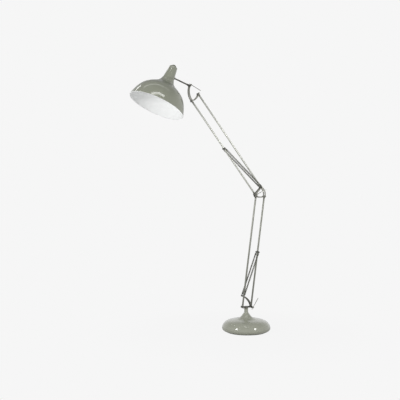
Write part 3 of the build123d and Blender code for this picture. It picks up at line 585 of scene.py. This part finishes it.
def makeShade():
    # closed shell turned round the shade's axis: flat seat of the cup, spun outline, rolled bead
    # at the rim and the outline moved in by the wall; white from part way round the bead on, partly
    # the inside's own white and partly a painted highlight along the rim's lower edge
    hole, wall, roll = shadeShape["hole"], shadeShape["wall"], shadeShape["bead"]
    gap, drop, top = shadeShape["beadGap"], shadeShape["seatEdge"], shadeShape["top"][1]
    points = [shadeShape["rim"], *shadeShape["outline"], shadeShape["top"]]
    outer = smoothLine(points, count=shadeShape["rows"])[::-1]
    inner = moveIn(outer, -wall)[::-1]
    beadCentre = np.array([shadeShape["rim"][0] - roll + shadeShape["beadOut"], 0.0])
    angle = np.radians(np.linspace(*shadeShape["beadArc"], shadeShape["beadRows"]))
    bead = beadCentre + roll * np.stack([np.cos(angle), np.sin(angle)], axis=1)
    outer = outer[outer[:, 1] > bead[0, 1] + gap]
    inner = inner[inner[:, 1] > bead[-1, 1] + gap]
    seatIn, seatOut = shadeShape["seat"]
    seat = np.array([[hole, top - drop], [hole + drop, top], [seatIn, top], [seatOut, top - drop]])
    inner = inner[inner[:, 1] < top - wall - shadeShape["underGap"]]
    under = np.array([[shadeShape["underSeat"], top - wall], [hole, top - wall]])
    profile = np.concatenate([seat, outer[1:], bead, inner, under])
    shade = turned("shadeShell", profile, rimCentre, shadeUp, shadeShape["rings"], closed=True)
    wear(shade, "shadeSageShadedCopy", "whitePaint")
    rows, rings = len(profile), shadeShape["rings"]
    # white starts part way round the bead, so a thin white line shows below the rim: partly the
    # inside's white paint, partly a painted highlight
    insideFrom = len(seat) + len(outer) - 1 + int(len(bead) * shadeShape["whiteFrom"])
    row = np.arange(rows * rings) // rings
    slots = ((row >= insideFrom) & (row < rows - 1)).astype(int)
    shade.data.polygons.foreach_set("material_index", slots)
    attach(shade, "shade_head")
    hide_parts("shade")


neckCup = {
    "bottom": (38.76, 204.3), "waist": (34.6, 240.0), "top": (27.2, 298.0), "wall": 1.6,
    "hole": 9.25, "holeEdge": 0.3, "edge": 5.0, "lipEdge": 0.35, "waistBend": 60.0,
    "innerBend": 55.0, "grooveAt": 210.5, "groove": 0.5, "grooveWidth": 1.4, "grooveEdge": 0.15,
    "grooveFloor": 0.1, "steps": 192,
}


def makeNeckCup():
    # tapered cup: corners from the switch's hole over the rounded top, down past a fine groove,
    # round the lip and up the inside, each made an arc, turned round the shade's axis
    bottom, waist, top = (np.array(neckCup[key]) for key in ("bottom", "waist", "top"))
    hole, wall = neckCup["hole"], neckCup["wall"]
    slope = (waist - bottom) / (waist - bottom)[1]
    low = bottom + slope * (neckCup["grooveAt"] - bottom[1])
    high = low + slope * neckCup["grooveWidth"]
    inward = np.array([neckCup["groove"], 0])
    corners = [(hole, top[1] - wall), (hole, top[1]), top, waist, high, high - inward,
               low - inward, low, bottom, bottom - (wall, 0), waist - (wall, 0),
               top - (wall, wall)]
    lip, edge, floor = neckCup["lipEdge"], neckCup["grooveEdge"], neckCup["grooveFloor"]
    radii = [neckCup["holeEdge"], neckCup["edge"], neckCup["waistBend"], edge, floor, floor, edge,
             lip, lip, neckCup["innerBend"]]
    line = roundCorners(corners, radii)
    cup = turned("neckCup", line, rimCentre, shadeUp, neckCup["steps"], closed=True)
    wear(cup, "shadeSageShadedCopy")
    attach(cup, "shade_head")
    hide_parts("neck_cup")


button = {"radius": 14.5, "bottom": 303.3, "height": 7.5, "edge": 6.5, "lowEdge": 0.6,
          "stem": 5.0, "stemBottom": 295.0, "stemEdge": 0.4, "arcSteps": 14, "steps": 96}


def makeButton():
    # push button: the profile of stem and cap with a wide arc at the cap's upper corner
    radius, low, stem, foot = (button[key] for key in ("radius", "bottom", "stem", "stemBottom"))
    high = low + button["height"]
    corners = [(0, foot), (stem, foot), (stem, low), (radius, low), (radius, high), (0, high)]
    radii = [button["stemEdge"], 0.0, button["lowEdge"], button["edge"]]
    line = roundCorners(corners, radii, button["arcSteps"])
    push = turned("switchButton", line, rimCentre, shadeUp, button["steps"])
    wear(push, "shadeSageShadedCopy")
    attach(push, "switch_button")
    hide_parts("switch_button")


bulb = {"radius": 30.0, "top": 213.7, "length": 104.0, "capLength": 26.0, "wall": 1.0,
        "neck": 12.18, "inCap": 8.0, "shoulderRows": 50, "crownRows": 40, "crownEnd": -88.5,
        "steps": 96}


def makeBulb():
    # frosted glass: a straight neck, a spline shoulder and a round end, as a thin closed shell
    centre = bulb["top"] - bulb["length"] + bulb["radius"]
    capEnd = bulb["top"] - bulb["capLength"]
    inCap = [(bulb["neck"], capEnd + bulb["inCap"])]
    shoulder = smoothLine([(bulb["neck"], capEnd), (bulb["radius"], centre)],
                          (0, -1), (0, -1), bulb["shoulderRows"])
    angle = np.radians(np.linspace(0, bulb["crownEnd"], bulb["crownRows"]))[1:]
    crown = np.stack([bulb["radius"] * np.cos(angle), centre + bulb["radius"] * np.sin(angle)],
                     axis=1)
    line = np.concatenate([inCap, shoulder, crown])
    tip = centre - bulb["radius"]
    inner = moveIn(line, -bulb["wall"])[::-1]
    profile = np.concatenate([[[0, tip + bulb["wall"]]], inner, line, [[0, tip]]])
    glass = turned("bulbGlass", profile, rimCentre, shadeUp, bulb["steps"])
    wear(glass, "frostedGlass")
    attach(glass, "shade_head")
    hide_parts("bulb_glass")


makeShade()
makeNeckCup()
makeButton()
makeBulb()
print("shade, cup, button and bulb made")


tube = {"radius": 6.0, "wall": 1.0, "endGap": 9.0, "edge": 0.35, "arcSteps": 4, "steps": 48}
ferrule = {"radius": 6.45, "length": 9.0, "groove": 0.3, "grooveWidth": 0.7, "edge": 0.25,
           "inset": 0.6}
# each tube's lower pivot, body, node and finish
links = {
    "lowerRear": ("lower_arm_tilt", "lower_rear_link", "lower_rear_tube", "tubeSteel"),
    "lowerFront": ("lower_front_tilt", "lower_front_link", "lower_front_tube", "tubeSteel"),
    # the upper tubes wear the tube steel painted lighter, a painted reflection
    "upperFront": ("upper_arm_tilt", "upper_front_link", "upper_front_tube", "tubeSteelPaintedReflection"),
    "upperRear": ("upper_rear_tilt", "upper_rear_link", "upper_rear_tube", "tubeSteelPaintedReflection"),
}
armEnds = {"lower": ("lower_arm_tilt", "elbow_level"), "upper": ("upper_arm_tilt", "head_level")}


def straightTube(name, start, way, length):
    # hollow tube: a strip of wall by length, its outer corners broken, turned round the tube's way
    radius, bore = tube["radius"], tube["radius"] - tube["wall"]
    corners = [(bore, 0), (radius, 0), (radius, length), (bore, length)]
    line = roundCorners(corners, [tube["edge"]] * 2, tube["arcSteps"])
    return turned(name, line, start, way, tube["steps"], closed=True)


def tubeRings(name, start, way, length):
    # a pressed ferrule near each end of a tube, with grooves at one and two thirds of its length
    radius, size, width = ferrule["radius"], ferrule["length"], ferrule["grooveWidth"]
    third, low = size / 3, radius - ferrule["groove"]
    corners = [(tube["radius"], 0), (radius, 0)]
    for at in (third, 2 * third):
        corners += [(radius, at), (low, at), (low, at + width), (radius, at + width)]
    corners += [(radius, size), (tube["radius"], size)]
    radii = [ferrule["edge"]] + [0.0] * (len(corners) - 4) + [ferrule["edge"]]
    line = roundCorners(corners, radii, tube["arcSteps"])
    near = turned(name, line, start, way, tube["steps"], closed=True)
    far = turned(name + "Far", line, start + way * length, -way, tube["steps"], closed=True)
    return joined(name, [near, far])


def makeLinks():
    # both tubes of an arm run parallel, as long as the arm from pivot to pivot less the end gaps
    for name, (joint, body, node, finish) in links.items():
        low, high = armEnds[name[:5]]
        span = jointAt(high) - jointAt(low)
        full = np.linalg.norm(span)
        way = span / full
        start = jointAt(joint) + way * tube["endGap"]
        length = full - 2 * tube["endGap"]
        piece = straightTube(name + "Tube", start, way, length)
        wear(piece, finish)
        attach(piece, body)
        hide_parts(node)
        inset = ferrule["inset"]
        rings = tubeRings(name + "Ferrules", start + way * inset, way, length - 2 * inset)
        wear(rings, "tubeSteel")
        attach(rings, body)


rod = {"radius": 5.0, "start": 8.5, "end": 124.75, "edge": 0.4, "arcSteps": 5, "steps": 48}


def makeRod():
    # solid rod from the knuckle into the cup, with broken ends
    radius, start, end = rod["radius"], rod["start"], rod["end"]
    corners = [(0, start), (radius, start), (radius, end), (0, end)]
    line = roundCorners(corners, [rod["edge"]] * 2, rod["arcSteps"])
    piece = turned("headRod", line, tiltAt, rodWay, rod["steps"])
    wear(piece, "rodSteel")
    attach(piece, "shade_arm")
    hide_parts("head_rod")


lever = {"radius": 2.0, "long": 76.0, "short": 16.0, "side": -37.8, "round": 0.97, "arcSteps": 9,
         "steps": 32, "angles": {"base": 31.0, "elbow": 65.0, "head": 118.0}}
boss = {"radius": 5.6, "from": 15.8, "to": 43.8, "edge": 1.5, "lowEdge": 0.5, "bore": 3.06,
        "boreDepth": 8.5, "knurls": 26, "knurlDepth": 0.28, "knurlFrom": 19.0, "knurlTo": 32.0,
        "knurlFade": 0.8, "knurlMargin": 0.5, "knurlRows": 90, "arcSteps": 8, "steps": 208}


def makeLevers():
    # round bar with domed ends, leaning by its own angle, and the boss that holds it
    radius, low, high = lever["radius"], -lever["short"], lever["long"]
    corners = [(0, low), (radius, low), (radius, high), (0, high)]
    line = roundCorners(corners, [radius * lever["round"]] * 2, lever["arcSteps"])
    for name, angle in lever["angles"].items():
        centre = jointAt(name + "_lever_turn")
        at = centre + np.array([0, lever["side"], 0])
        bar = turned(name + "LeverBar", line, at, lean(angle), lever["steps"])
        wear(bar, "leverSteel")
        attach(bar, name + "_lever")
        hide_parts(name + "_lever_bar")
        makeBoss(name, centre)


def knurlRipple(height, angle):
    # ridges that cross both ways: the product of two twisted sines, faded at the band's ends
    fade, low, high = boss["knurlFade"], boss["knurlFrom"], boss["knurlTo"]
    band = np.clip((height - low) / fade, 0, 1) * np.clip((high - height) / fade, 0, 1)
    twist, half = (height - low) / boss["radius"], boss["knurls"] / 2
    waves = np.abs(np.sin(half * (angle + twist))) * np.abs(np.sin(half * (angle - twist)))
    return -boss["knurlDepth"] * band * (1 - waves)


def makeBoss(name, at):
    # round boss turned across the arm, with a bore for its pin and a knurled band
    radius, low, high, bore = (boss[key] for key in ("radius", "from", "to", "bore"))
    side = roundCorners([(bore, low), (radius, low), (radius, high), (0, high)],
                        [boss["lowEdge"], boss["edge"]], boss["arcSteps"])
    margin = boss["knurlMargin"]
    heights = np.linspace(boss["knurlFrom"] - margin, boss["knurlTo"] + margin, boss["knurlRows"])
    middle = np.stack([np.full(len(heights), radius), heights], axis=1)
    cut = int(np.argmax(side[:, 1] > boss["knurlFrom"]))
    depth = high - boss["boreDepth"]
    profile = np.concatenate([[[0, depth], [bore, depth]], side[:cut], middle, side[cut:]])
    piece = turned(name + "LeverBoss", profile, at, (0, -1, 0), boss["steps"], ripple=knurlRipple)
    wear(piece, "leverSteel")
    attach(piece, name + "_lever")
    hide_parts(name + "_lever_boss")


makeLinks()
makeRod()
makeLevers()
print("tubes, rod and levers made")


# the close-wound pitch is given in wire radii
coil = {"wire": 0.88, "radius": 4.95, "collar": 13.15, "pitch": 3.05, "closePitch": 2.06,
        "closed": 5, "side": 22.0, "steps": 26, "sides": 10}


def makeSpring(name, start, end, side, node):
    # helix: the height rises by the close pitch for the closed turns at both ends and by the even
    # pitch between, scaled to the spring's length; the wire is a round tube along it
    span = end - start
    up, first, second = crossWays(span)
    length = np.linalg.norm(span) - 2 * coil["collar"] - 2 * coil["wire"]
    tight = coil["closePitch"] * coil["wire"]
    openTurns = int(round((length - 2 * coil["closed"] * tight) / coil["pitch"]))
    turns = openTurns + 2 * coil["closed"]
    angle = np.linspace(0, 2 * np.pi * turns, turns * coil["steps"] + 1)
    count = angle / (2 * np.pi)
    near = np.minimum(count, turns - count)
    share = np.clip(near - coil["closed"] + 0.5, 0, 1)
    share = share * share * (3 - 2 * share)
    rate = tight + share * (coil["pitch"] - tight)
    height = np.concatenate([[0], np.cumsum((rate[1:] + rate[:-1]) / 2 / coil["steps"])])
    height = coil["collar"] + coil["wire"] + height * length / height[-1]
    spin = np.cos(angle)[:, None] * first + np.sin(angle)[:, None] * second
    lift = np.array([0, side * coil["side"], 0])
    path = start + lift + height[:, None] * up + coil["radius"] * spin
    ways = np.gradient(path, axis=0)
    ways /= np.linalg.norm(ways, axis=1)[:, None]
    sideways = spin - np.sum(spin * ways, axis=1)[:, None] * ways
    sideways /= np.linalg.norm(sideways, axis=1)[:, None]
    piece = tubeOnPath(name, path, ways, sideways, coil["wire"], coil["sides"])
    wear(piece, "springSteel")
    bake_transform(piece)
    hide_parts(node)
    return turns


for pair in ("lower", "upper"):
    anchor, tip = jointAt(pair + "_spring_turn"), jointAt(pair + "_spring_tip_turn")
    for label, side in (("near", -1), ("far", 1)):
        turnsMade = makeSpring(pair + label.capitalize() + "Spring", anchor, tip, side,
                               pair + "_spring_" + label)
    print(pair, "springs made with", turnsMade, "turns each")


# solids that are shown as they are
nodeFinishes = {
    "castIron": ["base_weight"],
    "padRubber": ["base_pad"],
    "brass": ["swivel_bush"],
    "blackPlastic": ["cable_gland", "switch_body"],
    "whitePlastic": ["lamp_holder"],
    "platedSteel": [
        "base_plate", "base_screws", "base_stem", "swivel_nut", "hub_screws", "spring_studs",
        "base_bolts", "base_nuts", "elbow_bolts", "elbow_nuts", "elbow_spring_pin", "head_bolts",
        "head_nuts", "rod_nuts", "holder_ring", "bulb_cap"],
    "bracketSteel": [
        "base_bracket_near", "base_bracket_far", "elbow_bracket_near", "elbow_bracket_far",
        "head_bracket_near", "head_bracket_far"],
    "darkSteel": [
        "swivel_hub", "lower_rear_ends", "lower_front_ends", "upper_front_ends",
        "upper_rear_ends", "lower_spring_clip", "upper_spring_clip", "lower_spring_anchor_eyes",
        "lower_spring_tip_eyes", "upper_spring_anchor_eyes", "upper_spring_tip_eyes",
        "head_knuckle"],
}
for finish, nodes in nodeFinishes.items():
    for node in nodes:
        wear(frame["nodes"][node], finish)
print("carried-over nodes finished")


# places in metres; the two boxes are seen in the paint, fillLow only lights, strips are only seen
studio = {
    "backdrop": (246, 246, 246), "skyStrength": 0.46, "glossSky": 0.42, "glossFrom": 0.35,
    "glossTo": 0.75, "floorSize": 40.0, "floorTone": 0.80, "cameraShadow": 0.03,
    "glossShadow": 1.0, "shadowNear": 0.35, "shadowFar": 1.1, "stripAlong": (0.905, -0.425, 0),
    "camera": (-1.7295, -4.2745, 0.922), "cameraTurn": -18.0, "focal": 58.977, "sensor": 36.0,
}
lamps = {
    "boxLeft": {"at": (-2.58, -0.97, 1.52), "to": (0, 0, 0.9), "size": (0.45, 0.8), "power": 24},
    "boxRight": {"at": (1.10, -2.36, 1.77), "to": (0, 0, 0.9), "size": (0.45, 0.8), "power": 24},
    "fillLow": {"at": (-2.2, -2.2, 0.5), "to": (-0.6, 0, 1.6), "size": (1.0, 1.0), "power": 6,
                "inGloss": False},
}
strips = {
    "stripFront": {"at": (-0.43, -1.00, 3.0), "size": (1.4, 0.14), "level": 9.0},
    "stripMiddle": {"at": (-0.4, -0.05, 3.0), "size": (2.0, 0.14), "level": 2.4},
    "stripBack": {"at": (-1.31, 1.26, 3.0), "size": (0.22, 0.14), "level": 11.0},
}


def seenRays(tree):
    # one mask for what the camera, gloss and glass see of the backdrop, and one for gloss alone
    ray = addNode(tree, "ShaderNodeLightPath")
    either = addNode(tree, "ShaderNodeMath", operation="MAXIMUM")
    both = addNode(tree, "ShaderNodeMath", operation="MAXIMUM")
    tree.links.new(ray.outputs["Is Camera Ray"], either.inputs[0])
    tree.links.new(ray.outputs["Is Glossy Ray"], either.inputs[1])
    tree.links.new(either.outputs[0], both.inputs[0])
    tree.links.new(ray.outputs["Is Transmission Ray"], both.inputs[1])
    return both.outputs[0], ray.outputs["Is Glossy Ray"]


def makeFloor():
    # paper floor: camera, gloss and glass see the backdrop's tone, and near the lamp a share of the
    # floor as it is lit, with the lamp's shadow; all other rays see the lit floor
    size = studio["floorSize"]
    mesh = bpy.data.meshes.new("floor")
    corners = [(-size, -size, 0), (size, -size, 0), (size, size, 0), (-size, size, 0)]
    mesh.from_pydata(corners, [], [(0, 1, 2, 3)])
    floor = bpy.data.objects.new("floor", mesh)
    bpy.context.scene.collection.objects.link(floor)
    material = bpy.data.materials.new("floorPaper")
    material.use_nodes = True
    tree = material.node_tree
    tree.nodes.clear()
    tone = studio["floorTone"]
    matt = addNode(tree, "ShaderNodeBsdfDiffuse", {"Color": (tone, tone, tone, 1)})
    glow = addNode(tree, "ShaderNodeEmission",
                   {"Color": linear(studio["backdrop"]), "Strength": 1.0})
    seen, glossy = seenRays(tree)
    place = addNode(tree, "ShaderNodeTexCoord")
    far = addNode(tree, "ShaderNodeVectorMath", operation="LENGTH")
    fade = addNode(tree, "ShaderNodeMapRange",
                   {"From Min": studio["shadowNear"], "From Max": studio["shadowFar"],
                    "To Min": 1.0, "To Max": 0.0}, interpolation_type="SMOOTHSTEP")
    part = addNode(tree, "ShaderNodeMapRange",
                   {"To Min": studio["cameraShadow"], "To Max": studio["glossShadow"]})
    real = addNode(tree, "ShaderNodeMath", operation="MULTIPLY")
    share = addNode(tree, "ShaderNodeMath", {0: 1.0}, operation="SUBTRACT")
    masked = addNode(tree, "ShaderNodeMath", operation="MULTIPLY")
    mix = addNode(tree, "ShaderNodeMixShader")
    out = addNode(tree, "ShaderNodeOutputMaterial")
    link = tree.links.new
    link(place.outputs["Object"], far.inputs[0])
    link(far.outputs["Value"], fade.inputs["Value"])
    link(glossy, part.inputs["Value"])
    link(part.outputs["Result"], real.inputs[0])
    link(fade.outputs["Result"], real.inputs[1])
    link(real.outputs[0], share.inputs[1])
    link(share.outputs[0], masked.inputs[0])
    link(seen, masked.inputs[1])
    link(masked.outputs[0], mix.inputs[0])
    link(matt.outputs[0], mix.inputs[1])
    link(glow.outputs[0], mix.inputs[2])
    link(mix.outputs[0], out.inputs["Surface"])
    mesh.materials.append(material)


def makeWorld():
    # even sky for light; the backdrop's tone for camera, gloss and glass, darker for gloss as the
    # ray points nearer the zenith
    world = bpy.data.worlds.new("studioSky")
    bpy.context.scene.world = world
    world.use_nodes = True
    tree = world.node_tree
    tree.nodes.clear()
    sky = addNode(tree, "ShaderNodeBackground",
                  {"Color": (1, 1, 1, 1), "Strength": studio["skyStrength"]})
    backdrop = addNode(tree, "ShaderNodeBackground", {"Color": linear(studio["backdrop"])})
    seen, glossy = seenRays(tree)
    place = addNode(tree, "ShaderNodeTexCoord")
    split = addNode(tree, "ShaderNodeSeparateXYZ")
    above = addNode(tree, "ShaderNodeMapRange",
                    {"From Min": studio["glossFrom"], "From Max": studio["glossTo"]},
                    interpolation_type="SMOOTHSTEP")
    grey = addNode(tree, "ShaderNodeMath", operation="MULTIPLY")
    level = addNode(tree, "ShaderNodeMapRange", {"To Min": 1.0, "To Max": studio["glossSky"]})
    mix = addNode(tree, "ShaderNodeMixShader")
    out = addNode(tree, "ShaderNodeOutputWorld")
    link = tree.links.new
    link(place.outputs["Generated"], split.inputs[0])
    link(split.outputs["Z"], above.inputs["Value"])
    link(above.outputs["Result"], grey.inputs[0])
    link(glossy, grey.inputs[1])
    link(grey.outputs[0], level.inputs["Value"])
    link(level.outputs["Result"], backdrop.inputs["Strength"])
    link(seen, mix.inputs[0])
    link(sky.outputs[0], mix.inputs[1])
    link(backdrop.outputs[0], mix.inputs[2])
    link(mix.outputs[0], out.inputs["Surface"])


def makeLamp(name, look):
    # rectangular lamp that faces its target, one side level
    data = bpy.data.lights.new(name, "AREA")
    data.shape = "RECTANGLE"
    data.size, data.size_y = look["size"]
    data.energy = look["power"]
    lamp = bpy.data.objects.new(name, data)
    bpy.context.scene.collection.objects.link(lamp)
    back = (Vector(look["at"]) - Vector(look["to"])).normalized()
    wide = Vector((0, 0, 1)).cross(back).normalized()
    turn = Matrix([wide, back.cross(wide), back]).transposed()
    lamp.matrix_world = Matrix.Translation(look["at"]) @ turn.to_4x4()
    lamp.visible_glossy = look.get("inGloss", True)
    lamp.visible_camera = False


def makeStrip(name, look):
    # level glowing strip overhead that only gloss sees
    wide = Vector(studio["stripAlong"]).normalized() * look["size"][0] / 2
    deep = Vector((0, 0, 1)).cross(wide).normalized() * look["size"][1] / 2
    at = Vector(look["at"])
    mesh = bpy.data.meshes.new(name)
    corners = [at - wide - deep, at + wide - deep, at + wide + deep, at - wide + deep]
    mesh.from_pydata(corners, [], [(3, 2, 1, 0)])
    strip = bpy.data.objects.new(name, mesh)
    bpy.context.scene.collection.objects.link(strip)
    material = bpy.data.materials.new(name)
    material.use_nodes = True
    tree = material.node_tree
    tree.nodes.clear()
    glow = addNode(tree, "ShaderNodeEmission", {"Color": (1, 1, 1, 1), "Strength": look["level"]})
    out = addNode(tree, "ShaderNodeOutputMaterial")
    tree.links.new(glow.outputs[0], out.inputs["Surface"])
    material.cycles.emission_sampling = "NONE"
    mesh.materials.append(material)
    strip.visible_camera = strip.visible_diffuse = False
    strip.visible_shadow = strip.visible_transmission = False


def makeCamera():
    # level camera, solved from the photo
    data = bpy.data.cameras.new("camera")
    data.sensor_width = studio["sensor"]
    data.sensor_fit = "HORIZONTAL"
    data.lens = studio["focal"]
    camera = bpy.data.objects.new("camera", data)
    bpy.context.scene.collection.objects.link(camera)
    camera.location = studio["camera"]
    camera.rotation_euler = (math.radians(90), 0, math.radians(studio["cameraTurn"]))
    bpy.context.scene.camera = camera


makeFloor()
makeWorld()
for lampName, lampLook in lamps.items():
    makeLamp(lampName, lampLook)
for stripName, stripLook in strips.items():
    makeStrip(stripName, stripLook)
makeCamera()
bpy.context.scene.view_settings.view_transform = "Standard"
print("studio made")
